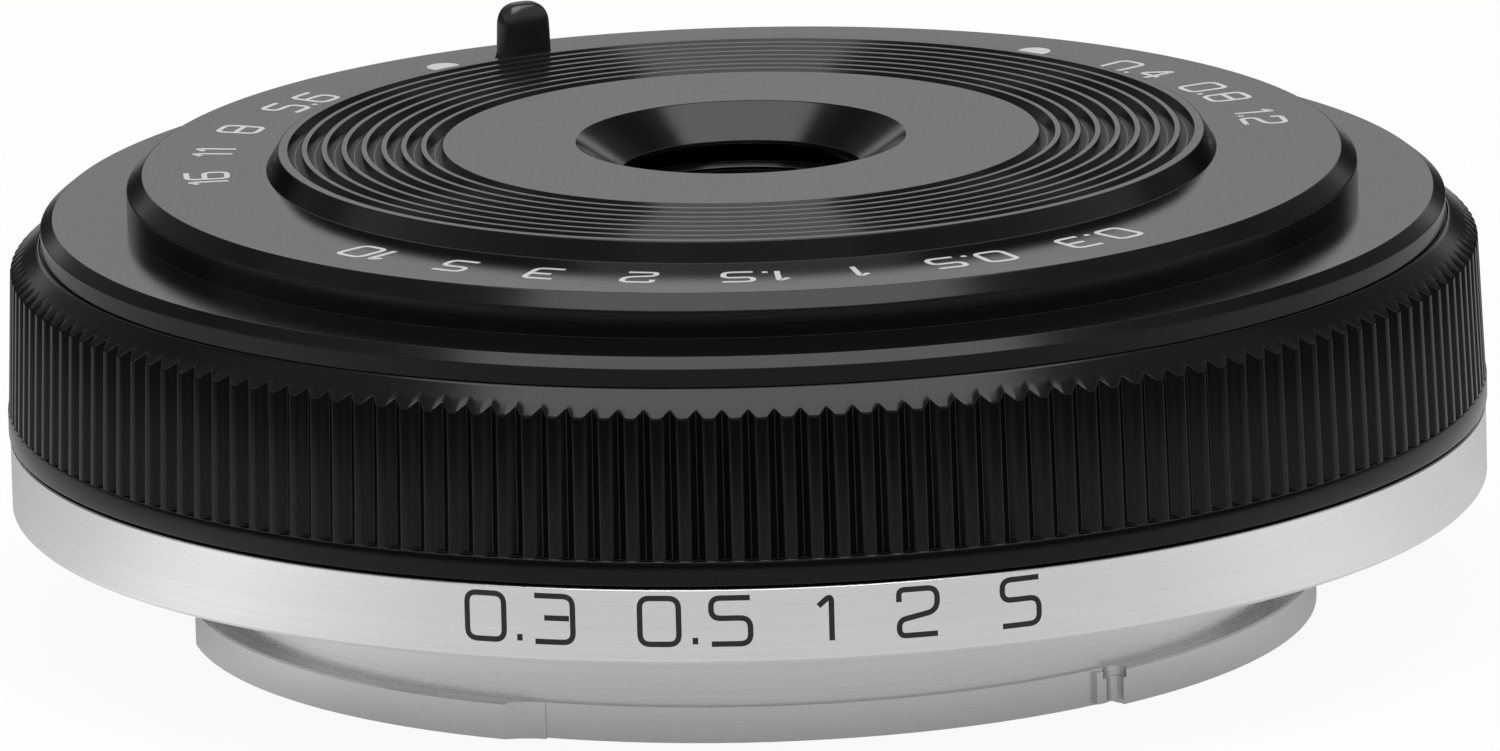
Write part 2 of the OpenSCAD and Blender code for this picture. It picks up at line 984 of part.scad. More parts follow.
module focus_frame() {
  lip = focus_glass_r - 0.7;
  root = focus_r - 0.4;
  color(black_plastic)
    difference() {
      union() {
        rotate_extrude()
          polygon([
            [focus_glass_r + tiny, focus_low_z],
            [focus_r, focus_low_z],
            [focus_r, focus_top_z],
            [lip, focus_top_z],
            [lip, focus_glass_top],
            [focus_glass_r + tiny, focus_glass_top]
          ]);
        // Arms to the coils
        for (side = [0, 180])
          rotate([0, 0, side])
            translate([root, -2, coil_z + 0.2])
              cube([coil_in - coil_wall - root, 4, 1]);
        // Arms and sleeves on the guide rods
        around(rod_angles, 0)
          translate([root, -1.1, focus_low_z + join])
            cube([rod_circle_r - focus_r, 2.2, 1.2]);
        around([rod_angles[0]], rod_circle_r)
          rod(sleeve_r, focus_low_z - 0.6, focus_top_z + 0.9);
        around([rod_angles[1]], rod_circle_r)
          rod(sleeve_r, focus_low_z + join, focus_top_z - 0.7);
      }
      around(rod_angles, rod_circle_r)
        rod(rod_r + run_gap, focus_low_z - 2, focus_top_z + 2);
    }
}

module coil_loop() {
  translate([0, 0, coil_z])
    linear_extrude(coil_height)
      difference() {
        translate([coil_in - coil_wall, -coil_half_y - coil_wall])
          square([coil_out - coil_in + 2 * coil_wall, 2 * (coil_half_y + coil_wall)]);
        translate([coil_in, -coil_half_y])
          square([coil_out - coil_in, 2 * coil_half_y]);
      }
}

module focus_coils() {
  color(copper)
    for (side = [0, 180])
      rotate([0, 0, side])
        coil_loop();
}

module coil_magnets() {
  color(magnet_grey)
    for (side = [0, 180])
      rotate([0, 0, side])
        translate([magnet_in, -magnet_half_y, yoke_low + 0.4])
          cube([magnet_thick, 2 * magnet_half_y, magnet_height]);
}

// U-shaped iron: the coil slides along its inner leg
module magnet_yokes() {
  back_in = magnet_in + magnet_thick;
  height = bridge_z - yoke_low;
  color(steel)
    for (side = [0, 180])
      rotate([0, 0, side]) {
        translate([yoke_in, -yoke_half_y, yoke_low])
          cube([yoke_leg, 2 * yoke_half_y, height]);
        translate([back_in, -magnet_half_y, yoke_low])
          cube([yoke_back, 2 * magnet_half_y, height]);
        translate([yoke_in + 2 * join, -yoke_half_y, yoke_high])
          cube([back_in - yoke_in + join, 2 * yoke_half_y, bridge_z - yoke_high]);
      }
}

module guide_rods() {
  color(steel)
    around(rod_angles, rod_circle_r)
      rod(rod_r, rod_low_z, bridge_z + rod_hole_depth);
}

module position_magnet() {
  color(magnet_grey)
    rotate([0, 0, sensor_angle])
      translate([focus_r, -1, focus_low_z + join])
        cube([0.8, 2, 1.8]);
}

module position_sensor() {
  color(black_plastic)
    rotate([0, 0, sensor_angle])
      translate([focus_r + 1.1, -1.4, rear_frame_top])
        cube([1, 2.8, 4.2]);
}

// ---- Rear group ----

module rear_lens_frame() {
  plate_thick = rear_frame_top - rear_plate_z;
  head_depth = 0.4;
  color(black_plastic)
    difference() {
      union() {
        rotate_extrude()
          polygon([
            [rear_glass_r + tiny, rear_tube_z],
            [rear_tube_r, rear_tube_z],
            [rear_tube_r, rear_plate_z],
            [rear_plate_r, rear_plate_z],
            [rear_plate_r, rear_frame_top],
            [rear_clear_r, rear_frame_top],
            [rear_clear_r, rear_seat_z],
            [rear_glass_r + tiny, rear_seat_z]
          ]);
        around(baffle_screw_angles, baffle_screw_circle_r)
          rod(baffle_post_r, baffle_z + baffle_thick, rear_plate_z + join);
      }
      around(baffle_screw_angles, baffle_screw_circle_r)
        rod(small_hole_r, baffle_z - past, baffle_hole_top);
      around(post_angles, post_circle_r) {
        rod(post_hole_r + run_gap, rear_plate_z - past, rear_frame_top + past);
        rod(rear_screw_head_r + 2 * run_gap, rear_plate_z - past, rear_plate_z + head_depth);
      }
      around(rod_angles, rod_circle_r)
        rod(rod_r, rod_low_z, rear_frame_top + past);
      // Way through for the charging socket
      translate([-usb_half - usb_r, usb_y - usb_r - join / 2, rear_plate_z - past])
        cube([2 * (usb_half + usb_r), 2 * usb_r + join, plate_thick + 2 * past]);
      // Way through for the flexible cable
      translate([-flex_half - 0.8, flex_bend_y - 1.7, rear_plate_z - past])
        cube([2 * flex_half + 1.6, 3, plate_thick + 2 * past]);
    }
}

module rear_frame_screws() {
  color(steel)
    around(post_angles, post_circle_r)
      cheese_screw(rear_screw_head_r, rear_plate_z, rear_plate_z + 0.4, post_hole_r - tiny,
                   post_hole_top - 0.6);
}

module rear_lens_element() {
  color(glass_tint)
    glass_element(rear_glass_r, rear_glass_low, rear_seat_z, -30, 35, 9.4);
}

module rear_retaining_ring() {
  color(black_anodised)
    rotate_extrude()
      polygon([
        [rear_glass_r, rear_glass_low],
        [rear_glass_r, rear_tube_z],
        [rear_clear_r - 0.2, rear_tube_z],
        [rear_clear_r, rear_glass_low - 0.28]
      ]);
}

module main_board() {
  color(board_green)
    difference() {
      arc_slab(board_out_r, board_in_r, -165, 165, board_z, board_z + board_thick);
      around(screw_angles, screw_circle_r)
        rod(boss_r + screw_clearance, board_z - past, board_z + board_thick + past);
      around(board_post_angles, board_post_circle_r)
        rod(small_screw_r + run_gap, board_z - past, board_z + board_thick + past);
    }
}

module processor_chip() {
  side = 5;
  height = 0.9;
  color(black_plastic)
    rotate([0, 0, 20])
      translate([board_in_r + 0.7, -side / 2, board_z - height])
        cube([side, side, height]);
}

module board_screws() {
  head = 0.5;
  color(steel)
    around(board_post_angles, board_post_circle_r)
      cheese_screw(plate_head_r, board_z - head, board_z, small_screw_r, bridge_z - 0.3);
}

// The strip from the board to the contacts, bent twice
module contact_flex() {
  color(copper)
    rotate([90, 0, 90])
      translate([0, 0, -flex_half])
        linear_extrude(2 * flex_half)
          polygon([
            [flex_out_y, board_z - flex_thick],
            [flex_bend_y, board_z - flex_thick],
            [flex_bend_y, block_top_z],
            [flex_end_y, block_top_z],
            [flex_end_y, block_top_z + flex_thick],
            [flex_bend_y + flex_thick, block_top_z + flex_thick],
            [flex_bend_y + flex_thick, board_z],
            [flex_out_y, board_z]
          ]);
}

module contact_block() {
  leg_turn = block_half - leg_half;
  color(black_plastic)
    difference() {
      union() {
        arc_slab(block_out_r, block_in_r, -90 - block_half, -90 + block_half, baffle_z, block_top_z);
        // Legs up to the rear lens frame
        for (side = [-1, 1])
          arc_slab(block_out_r, block_in_r, -90 + side * leg_turn - leg_half,
                   -90 + side * leg_turn + leg_half, block_top_z - join, rear_plate_z);
      }
      around([for (pin = [0 : contact_count - 1]) contact_angle(pin)], contact_r)
        rod(contact_pin_r, baffle_z - past, block_top_z + past);
    }
}

function contact_angle(pin) = -90 + (pin - (contact_count - 1) / 2) * contact_step;

module contact_pins() {
  color(gold)
    around([for (pin = [0 : contact_count - 1]) contact_angle(pin)], contact_r)
      rod(contact_pin_r, baffle_z - join, block_top_z - run_gap);
}

module usb_outline(grow) {
  hull()
    for (side = [-1, 1])
      translate([side * usb_half, usb_y])
        circle(r = usb_r + grow, $fn = hole_fn);
}

module usb_socket() {
  tongue_x = 6.6;
  tongue_y = 0.7;
  color(steel)
    translate([0, 0, usb_low_z]) {
      difference() {
        linear_extrude(usb_height)
          usb_outline(0);
        translate([0, 0, -past])
          linear_extrude(usb_height)
            usb_outline(-usb_wall);
      }
      translate([-tongue_x / 2, usb_y - tongue_y / 2, 1])
        cube([tongue_x, tongue_y, usb_height - 1.6]);
    }
}

module usb_board() {
  length = 11;
  width = 5.6;
  color(board_green)
    translate([-length / 2, 12, usb_low_z + usb_height])
      cube([length, width, 0.8]);
}

module rear_baffle() {
  low = baffle_z - past;
  reach = baffle_thick + 2 * past;
  color(black_plastic)
    difference() {
      rod(bore_r - 0.1, baffle_z, baffle_z + baffle_thick, $fn);
      translate([-window_half_x, -window_half_y, low])
        cube([2 * window_half_x, 2 * window_half_y, reach]);
      translate([0, 0, low])
        linear_extrude(reach)
          usb_outline(edge);
      arc_slab(block_out_r + 0.1, block_in_r - 0.1, -90 - block_half - 0.5, -90 + block_half + 0.5,
               low, low + reach);
      around(baffle_screw_angles, baffle_screw_circle_r) {
        rod(plate_hole_r, low, low + reach);
        rod(plate_head_r + 2 * run_gap, low, baffle_z + plate_head_depth);
      }
    }
}

module baffle_screws() {
  color(steel)
    around(baffle_screw_angles, baffle_screw_circle_r)
      cheese_screw(plate_head_r, baffle_z, baffle_z + plate_head_depth, small_screw_r,
                   baffle_hole_top - 0.4);
}

bayonet_mount();
mount_screws();
mount_shim();
silver_ring();
chassis();
grip_ring();
front_barrel();
name_ring();
grooved_front_disc();
cover_lever();
lever_screw();
cover_drive_ring();
cover_drive_pins();
cover_blade_lower();
cover_blade_upper();
cover_pivot_posts();
cover_base_plate();
cover_detent_spring();
spring_screw();
base_plate_screws();
front_lens_cell();
cell_screws();
front_retaining_ring();
front_lens_element();
front_spacer();
second_lens_element();
aperture_stop();
third_lens_element();
middle_spacer();
fourth_lens_element();
cell_retaining_ring();
focus_lens_element();
focus_frame();
focus_coils();
coil_magnets();
magnet_yokes();
guide_rods();
position_magnet();
position_sensor();
rear_lens_frame();
rear_frame_screws();
rear_lens_element();
rear_retaining_ring();
main_board();
processor_chip();
board_screws();
contact_flex();
contact_block();
contact_pins();
usb_socket();
usb_board();
rear_baffle();
baffle_screws();
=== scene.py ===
import json
import math

import bmesh
import bpy
from mathutils import Matrix, Vector


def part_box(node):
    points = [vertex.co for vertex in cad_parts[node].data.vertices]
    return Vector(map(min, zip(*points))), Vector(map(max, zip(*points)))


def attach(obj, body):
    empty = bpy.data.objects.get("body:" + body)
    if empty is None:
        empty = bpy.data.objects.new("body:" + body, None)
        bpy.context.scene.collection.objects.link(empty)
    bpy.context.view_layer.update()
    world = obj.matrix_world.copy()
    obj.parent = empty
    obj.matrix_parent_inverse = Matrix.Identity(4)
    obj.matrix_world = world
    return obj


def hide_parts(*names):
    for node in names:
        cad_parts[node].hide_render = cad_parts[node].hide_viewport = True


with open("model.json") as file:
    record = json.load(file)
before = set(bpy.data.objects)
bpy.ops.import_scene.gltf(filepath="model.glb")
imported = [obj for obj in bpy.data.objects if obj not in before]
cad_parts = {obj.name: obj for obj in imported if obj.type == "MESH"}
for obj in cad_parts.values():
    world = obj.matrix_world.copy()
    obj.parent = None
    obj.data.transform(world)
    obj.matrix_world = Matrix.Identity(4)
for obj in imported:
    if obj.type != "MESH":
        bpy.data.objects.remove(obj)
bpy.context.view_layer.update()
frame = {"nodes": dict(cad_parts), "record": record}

MM = 0.001
TURN = 2 * math.pi

# ---------------------------------------------------------------- sizes read from the frame, in mm


def round_size(node):
    """Outer radius, lowest and highest point of a round CAD node."""
    low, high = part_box(node)
    return high.x / MM, low.z / MM, high.z / MM


BODY_R, GRIP_LOW, GRIP_TOP = round_size("grip_ring")
SILVER_R, SILVER_LOW, SILVER_TOP = round_size("silver_ring")
PLATE_R, PLATE_LOW, PLATE_TOP = round_size("front_barrel")
RISER_R, RISER_LOW, NAME_TOP = round_size("name_ring")
FOOT_R, DISC_LOW, DISC_TOP = round_size("grooved_front_disc")

# Grip: grooves run from RIDGE_START to the shoulder and are V-shaped with softened edges.
RIDGES = 180
RIDGE_START = 4.2
GRIP_STEP = 0.04
SHOULDER_R = 29.83
SHOULDER_Z = 9.9
SHOULDER_TOP_R = 28.68
GRIP_BORE = 28.65
GROOVE_DEPTH = 0.36
GROOVE_HALF = 0.34
GROOVE_FLOOR_HALF = 0.02
RIDGE_SOFT = 0.07

# Silver ring: the bore has a step above the mount flange.
MOUNT_BORE = 28.3
MOUNT_OPENING = 23.4
MOUNT_STEP_LOW = 1.75
MOUNT_STEP_TOP = 2.55
SILVER_CHAMFER = 0.16
SILVER_TOP_CHAMFER = 0.05

# Front plate: thinner towards the middle, with a chamfered edge.
PLATE_IN = 22.0
PLATE_FOOT_IN = 26.6
PLATE_THICK = 0.3
PLATE_CHAMFER_WIDE = 0.5
PLATE_CHAMFER_DEEP = 0.4

# Name ring: a riser with a sloping edge and a flat top.
NAME_IN = 18.4
NAME_OUT = 24.35
NAME_THICK = 0.8
RISER_IN = 23.5
RISER_SLOPE_DEEP = 0.6

# Front disc: a cone around the opening, a flat, then eight thin crests.
DISC_R = 18.37
DISC_FOOT_SLOPE = 0.5
CONE_TOP_R = 6.72
CONE_LOW_R = 4.85
CONE_WALL = 0.15
DISC_FLAT_R = 12.1
CRESTS = 8
CREST_FIRST_R = 12.88
CREST_PITCH = 0.807
CREST_HALF = 0.105
CREST_DEEP = 0.38

# Lever: (height, half width along the radius, half width across it) up to where the dome starts.
LEVER_R = 20.33
LEVER_ANGLE = 116
LEVER_HALF = (0.72, 1.06)
LEVER_FOOT = [
    (12.40, 1.00, 1.66),
    (12.82, 1.00, 1.66),
    (12.87, 0.84, 1.46),
    (13.70, 0.80, 1.40),
    (13.95, 0.76, 1.20),
    (14.30, 0.74, 1.10),
]
LEVER_DOME = 0.95
LEVER_SQUARE = 0.6
LEVER_DOME_SQUARE = 0.62
SLOT_IN = 19.45
SLOT_OUT = 21.2
SLOT_HALF_ANGLE = 30.6

# Paint: dots and numbers stand a little out of the surface.
MARK_R = 21.9
MARK_ANGLE = 34
MARK_SIZE = 0.70
PAINT_THICK = 0.01

# Roundings: a flat starts FLAT_KEEP past each one, and none takes more than MOST_ROUND of a side.
FLAT_KEEP = 0.02
FLAT_SHARE = 0.03
MOST_ROUND = 0.42
LATHE_STEPS = 480
ROUND_STEPS = 40

# ---------------------------------------------------------------- mesh helpers


def finish_mesh(name, mesh, body, slot, replaced=(), sharp=32):
    """Turns a mesh in mm into a piece that rides on a body; edges above the angle sharp stay crisp."""
    mesh.transform(Matrix.Scale(MM, 4))
    mesh.polygons.foreach_set("use_smooth", [True] * len(mesh.polygons))
    mesh.set_sharp_from_angle(angle=math.radians(sharp))
    piece = bpy.data.objects.new(name, mesh)
    bpy.context.scene.collection.objects.link(piece)
    mesh.materials.append(LOOKS[slot])
    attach(piece, body)
    if replaced:
        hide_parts(*replaced)


def corner_curve(here, back, ahead, reach, parts):
    """Points of a smooth curve across a corner, from reach before it to reach after it."""
    start = here + back.normalized() * reach
    end = here + ahead.normalized() * reach
    shares = [k / parts for k in range(parts + 1)]
    return [(1 - t) ** 2 * start + 2 * t * (1 - t) * here + t * t * end for t in shares]


def rounded(points, radii, parts=4):
    """A closed outline of (r, z) points with rounded corners; radii has one value per point.

    A point just past each rounding keeps the flats beside it flat in the shading.
    """
    outline = []
    count = len(points)
    for i, corner in enumerate(points):
        radius = radii[i]
        here = Vector(corner)
        if radius <= 0:
            outline.append(tuple(here))
            continue
        back = Vector(points[i - 1]) - here
        ahead = Vector(points[(i + 1) % count]) - here
        half = back.angle(ahead) / 2
        reach = min(radius / math.tan(half), back.length * MOST_ROUND, ahead.length * MOST_ROUND)
        curve = corner_curve(here, back, ahead, reach, parts)
        keep_back = back.normalized() * min(FLAT_KEEP, back.length * FLAT_SHARE)
        keep_ahead = ahead.normalized() * min(FLAT_KEEP, ahead.length * FLAT_SHARE)
        outline.append(tuple(curve[0] + keep_back))
        outline.extend(tuple(point) for point in curve)
        outline.append(tuple(curve[-1] + keep_ahead))
    return outline


def on_circle(radius, angle, centre=(0, 0)):
    return (centre[0] + radius * math.cos(angle), centre[1] + radius * math.sin(angle))


def arc(radius, first, last, parts, centre=(0, 0)):
    """Points along a circle from one angle to another, both ends included."""
    return [on_circle(radius, first + (last - first) * k / parts, centre) for k in range(parts + 1)]


def add_prism(verts, faces, outline, low, high):
    """Adds a straight-sided solid between two heights to a mesh."""
    first = len(verts)
    count = len(outline)
    verts += [(x, y, z) for z in (low, high) for x, y in outline]
    faces.append(tuple(range(first, first + count)))
    faces.append(tuple(range(first + 2 * count - 1, first + count - 1, -1)))
    for k in range(count):
        a = first + k
        b = first + (k + 1) % count
        faces.append((a, a + count, b + count, b))


def around_axis(name, sections):
    """A mesh through closed outlines around the axis; each section is an angle and its (r, z) points."""
    verts = []
    for angle, outline in sections:
        c = math.cos(angle)
        s = math.sin(angle)
        verts.extend((r * c, r * s, z) for r, z in outline)
    count = len(sections)
    n = len(sections[0][1])
    faces = []
    for k in range(count):
        a = k * n
        b = (k + 1) % count * n
        for i in range(n):
            j = (i + 1) % n
            faces.append((a + i, b + i, b + j, a + j))
    return make_mesh(name, verts, faces)


def lathe(outline):
    """A mesh made by turning a closed (r, z) outline about the axis."""
    return around_axis("lathe", [(TURN * k / LATHE_STEPS, outline) for k in range(LATHE_STEPS)])


def make_mesh(name, verts, faces):
    """A mesh from its points and faces, with every face turned outwards."""
    mesh = bpy.data.meshes.new(name)
    mesh.from_pydata(verts, [], faces)
    mesh.update()
    fix = bmesh.new()
    fix.from_mesh(mesh)
    bmesh.ops.recalc_face_normals(fix, faces=fix.faces)
    fix.to_mesh(mesh)
    fix.free()
    return mesh


# ---------------------------------------------------------------- materials


def new_material(name):
    material = bpy.data.materials.new(name)
    material.use_nodes = True
    tree = material.node_tree
    return material, tree, tree.nodes["Principled BSDF"]


def add_node(tree, kind, **values):
    made = tree.nodes.new(kind)
    for key, value in values.items():
        setattr(made, key, value)
    return made


def noise(tree, place, scale, detail=3, rough=0.6):
    """A noise pattern; scale is in cycles per metre."""
    made = add_node(tree, "ShaderNodeTexNoise")
    made.inputs["Scale"].default_value = scale
    made.inputs["Detail"].default_value = detail
    made.inputs["Roughness"].default_value = rough
    tree.links.new(place, made.inputs["Vector"])
    return made.outputs["Fac"]


def coordinates(tree):
    return add_node(tree, "ShaderNodeTexCoord").outputs["Object"]


def separated(tree, source):
    """The x, y and z outputs of a vector."""
    made = add_node(tree, "ShaderNodeSeparateXYZ")
    tree.links.new(source, made.inputs[0])
    return made.outputs


def joined(tree, x, y):
    """A vector with two of its parts linked."""
    made = add_node(tree, "ShaderNodeCombineXYZ")
    tree.links.new(x, made.inputs["X"])
    tree.links.new(y, made.inputs["Y"])
    return made.outputs[0]


def spread_to(tree, source, low, high):
    """Moves a noise pattern, most of which lies between a quarter and three quarters, to low and high."""
    made = add_node(tree, "ShaderNodeMapRange")
    made.inputs["From Min"].default_value = 0.25
    made.inputs["From Max"].default_value = 0.75
    made.inputs["To Min"].default_value = low
    made.inputs["To Max"].default_value = high
    tree.links.new(source, made.inputs["Value"])
    return made.outputs["Result"]


def two_tones(tree, fac, low, high):
    """A colour that a pattern moves between two others."""
    made = add_node(tree, "ShaderNodeMix", data_type="RGBA")
    made.inputs["A"].default_value = (*low, 1)
    made.inputs["B"].default_value = (*high, 1)
    tree.links.new(fac, made.inputs["Factor"])
    return made.outputs["Result"]


def bump(tree, source, strength, distance, base=None):
    """A normal that follows a pattern; distance is in metres."""
    made = add_node(tree, "ShaderNodeBump")
    made.inputs["Strength"].default_value = strength
    made.inputs["Distance"].default_value = distance
    tree.links.new(source, made.inputs["Height"])
    if base is not None:
        tree.links.new(base, made.inputs["Normal"])
    return made.outputs["Normal"]


def painted_edge_highlight(tree, radius):
    """A mask along sharp edges for a painted highlight, from where a rounded normal leaves the true one
    by a few degrees.
    """
    geometry = add_node(tree, "ShaderNodeNewGeometry")
    bevel = add_node(tree, "ShaderNodeBevel", samples=4)
    bevel.inputs["Radius"].default_value = radius
    dot = add_node(tree, "ShaderNodeVectorMath", operation="DOT_PRODUCT")
    tree.links.new(bevel.outputs["Normal"], dot.inputs[0])
    tree.links.new(geometry.outputs["Normal"], dot.inputs[1])
    made = add_node(tree, "ShaderNodeMapRange")
    made.inputs["From Min"].default_value = 0.999
    made.inputs["From Max"].default_value = 0.90
    made.inputs["To Min"].default_value = 0.0
    made.inputs["To Max"].default_value = 1.0
    tree.links.new(dot.outputs["Value"], made.inputs["Value"])
    return made.outputs["Result"]


def black_anodised():
    """Bead-blasted black anodised aluminium: fine grain, satin gloss, and sharp edges painted paler as a
    painted highlight.
    """
    material, tree, shader = new_material("black_anodised")
    place = coordinates(tree)
    grain = noise(tree, place, scale=9000, rough=0.7)
    clouds = noise(tree, place, scale=260, rough=0.5)
    edge_highlight = painted_edge_highlight(tree, radius=0.00005)
    tone = two_tones(tree, clouds, (0.0022, 0.0022, 0.0023), (0.0032, 0.0032, 0.0033))
    highlighted = add_node(tree, "ShaderNodeMix", data_type="RGBA")
    tree.links.new(edge_highlight, highlighted.inputs["Factor"])
    tree.links.new(tone, highlighted.inputs["A"])
    # Painted highlight: sharp edges get a paler colour that stands in for thin bright edge lines.
    highlighted.inputs["B"].default_value = (0.060, 0.060, 0.062, 1)
    tree.links.new(highlighted.outputs["Result"], shader.inputs["Base Color"])
    tree.links.new(spread_to(tree, grain, low=0.14, high=0.21), shader.inputs["Roughness"])
    tree.links.new(bump(tree, grain, strength=0.08, distance=0.000008), shader.inputs["Normal"])
    shader.inputs["IOR"].default_value = 1.30
    return material


def silver(name, tone_low, tone_high, roughness, line_scale):
    """Satin metal with fine lines around the axis."""
    material, tree, shader = new_material(name)
    place = coordinates(tree)
    split = separated(tree, place)
    reach = add_node(tree, "ShaderNodeVectorMath", operation="LENGTH")
    tree.links.new(joined(tree, split["X"], split["Y"]), reach.inputs[0])
    around = joined(tree, reach.outputs["Value"], split["Z"])
    lines = noise(tree, around, scale=line_scale, rough=0.7)
    grain = noise(tree, place, scale=7000)
    clouds = noise(tree, place, scale=120, rough=0.5)
    tree.links.new(two_tones(tree, clouds, tone_low, tone_high), shader.inputs["Base Color"])
    shader.inputs["Metallic"].default_value = 1.0
    tree.links.new(spread_to(tree, lines, roughness - 0.05, roughness + 0.07), shader.inputs["Roughness"])
    grained = bump(tree, grain, strength=0.25, distance=0.000008)
    lined = bump(tree, lines, strength=0.25, distance=0.000006, base=grained)
    tree.links.new(lined, shader.inputs["Normal"])
    return material


def plain(name, low, high, roughness, grain_scale=6000, metallic=0.0):
    """A plain material with a fine grain in its tone, gloss and surface."""
    material, tree, shader = new_material(name)
    place = coordinates(tree)
    grain = noise(tree, place, scale=grain_scale)
    clouds = noise(tree, place, scale=grain_scale / 30, rough=0.5)
    tree.links.new(two_tones(tree, clouds, low, high), shader.inputs["Base Color"])
    tree.links.new(spread_to(tree, grain, roughness - 0.06, roughness + 0.06), shader.inputs["Roughness"])
    tree.links.new(bump(tree, grain, strength=0.3, distance=0.00001), shader.inputs["Normal"])
    shader.inputs["Metallic"].default_value = metallic
    return material


def coated_glass():
    """Optical glass with a faint coloured coating and a few dust specks."""
    material, tree, shader = new_material("coated_glass")
    place = coordinates(tree)
    dust = noise(tree, place, scale=2500, detail=2, rough=0.5)
    facing = add_node(tree, "ShaderNodeLayerWeight")
    facing.inputs["Blend"].default_value = 0.35
    coat = two_tones(tree, facing.outputs["Facing"], (0.80, 0.86, 1.0), (0.88, 0.74, 1.0))
    tree.links.new(coat, shader.inputs["Specular Tint"])
    shader.inputs["Base Color"].default_value = (0.86, 0.90, 0.90, 1)
    shader.inputs["IOR"].default_value = 1.6
    shader.inputs["Transmission Weight"].default_value = 1.0
    tree.links.new(spread_to(tree, dust, low=0.0, high=0.03), shader.inputs["Roughness"])
    tree.links.new(bump(tree, dust, strength=0.02, distance=0.000001), shader.inputs["Normal"])
    return material


LOOKS = {
    "black_anodised": black_anodised(),
    "silver_metal": silver("silver_metal", (0.80, 0.80, 0.80), (0.84, 0.84, 0.84), 0.28, 9000),
    "mount_metal": silver("mount_metal", (0.66, 0.66, 0.65), (0.72, 0.72, 0.71), 0.25, 6000),
    "black_plastic": plain("black_plastic", (0.010, 0.010, 0.010), (0.016, 0.016, 0.016), 0.55),
    "lever_black": plain("lever_black", (0.008, 0.008, 0.008), (0.012, 0.012, 0.012), 0.30, 9000),
    "blade_black": plain("blade_black", (0.010, 0.010, 0.011), (0.016, 0.016, 0.017), 0.5, 8000),
    "steel": plain("steel", (0.48, 0.48, 0.50), (0.58, 0.58, 0.60), 0.32, 5000, 1.0),
    "brass": plain("brass", (0.70, 0.52, 0.25), (0.78, 0.60, 0.32), 0.35, 5000, 1.0),
    "copper": plain("copper", (0.62, 0.28, 0.14), (0.72, 0.36, 0.20), 0.35, 4000, 1.0),
    "gold": plain("gold", (0.86, 0.64, 0.26), (0.94, 0.74, 0.36), 0.22, 5000, 1.0),
    "magnet": plain("magnet", (0.46, 0.46, 0.47), (0.54, 0.54, 0.55), 0.28, 5000, 1.0),
    "board": plain("board", (0.012, 0.07, 0.035), (0.02, 0.10, 0.05), 0.38, 3000),
    "flex": plain("flex", (0.42, 0.18, 0.03), (0.52, 0.25, 0.05), 0.35, 3000),
    "glass": coated_glass(),
    "paint_white": plain("paint_white", (0.46, 0.46, 0.46), (0.54, 0.54, 0.54), 0.45, 8000),
    "paint_black": plain("paint_black", (0.006, 0.006, 0.006), (0.010, 0.010, 0.010), 0.45, 8000),
}

# ---------------------------------------------------------------- the ridged grip


def groove_profile():
    """(share of the ridge pitch, depth) samples across one groove and one ridge."""
    pitch = TURN * SHOULDER_R / RIDGES
    steep = GROOVE_DEPTH / GROOVE_HALF
    floor_depth = steep * (GROOVE_HALF - GROOVE_FLOOR_HALF)
    rows = [(0.0, floor_depth)]
    for s in (GROOVE_FLOOR_HALF * 2, GROOVE_HALF / 2):
        rows.append((s / pitch, steep * (GROOVE_HALF - s)))
    for k in (-1, -0.5, 0, 0.5, 1):
        s = GROOVE_HALF + RIDGE_SOFT * k
        rows.append((s / pitch, steep * RIDGE_SOFT * (1 - k) ** 2 / 4))
    mirrored = [(1 - share, depth) for share, depth in reversed(rows[1:])]
    return rows + mirrored


def grip_outline(depth):
    """The (r, z) outline of the grip where its surface is cut back by depth."""
    foot = BODY_R - GRIP_STEP
    slope = (SHOULDER_R - foot) / (SHOULDER_Z - RIDGE_START)
    fall = (GRIP_TOP - SHOULDER_Z) / (SHOULDER_TOP_R - SHOULDER_R)

    def wall(z):
        return Vector((foot - depth + slope * (z - RIDGE_START), z))

    meet = wall(SHOULDER_Z - depth * fall / (1 - slope * fall))
    top = Vector((SHOULDER_TOP_R, GRIP_TOP))
    before = wall(meet.y - RIDGE_SOFT)
    after = meet + (top - meet).normalized() * RIDGE_SOFT
    down = (meet - top).normalized()
    low_round = 0.12
    step_round = 0.06
    step_cut = 0.018
    top_drop = 0.02
    top_round = 0.10
    support = 0.03
    tiny = 0.01
    shoulder_middle = meet.lerp(top, 0.5) if depth < tiny else after.lerp(top, 0.4)
    return [
        (GRIP_BORE, GRIP_LOW),
        (BODY_R - low_round, GRIP_LOW),
        (BODY_R - low_round / 4, GRIP_LOW + low_round / 4),
        (BODY_R, GRIP_LOW + low_round),
        (BODY_R, RIDGE_START - step_round),
        (BODY_R - step_cut, RIDGE_START - step_cut),
        (foot - min(depth, tiny), RIDGE_START),
        (wall(RIDGE_START).x, RIDGE_START + tiny),
        tuple(wall(RIDGE_START + top_round)),
        tuple(before),
        tuple((before + 2 * meet + after) / 4),
        tuple(after),
        tuple(shoulder_middle),
        tuple(top + down * (top_round + support)),
        tuple(top + down * top_round),
        (SHOULDER_TOP_R, GRIP_TOP - top_drop),
        (GRIP_BORE, GRIP_TOP - top_drop),
    ]


def build_grip():
    pattern = [(share, grip_outline(depth)) for share, depth in groove_profile()]
    sections = []
    for ridge in range(RIDGES):
        sections += [(TURN * (ridge + share) / RIDGES, outline) for share, outline in pattern]
    mesh = around_axis("grip", sections)
    finish_mesh("ridged_grip", mesh, "lens_body", "black_anodised", ["grip_ring"], sharp=28)


build_grip()

# ---------------------------------------------------------------- turned rings


def turned(name, points, radii, slot, replaced, sharp=32):
    """A round piece of the lens body from its corner points and their rounding radii."""
    finish_mesh(name, lathe(rounded(points, radii)), "lens_body", slot, [replaced], sharp)


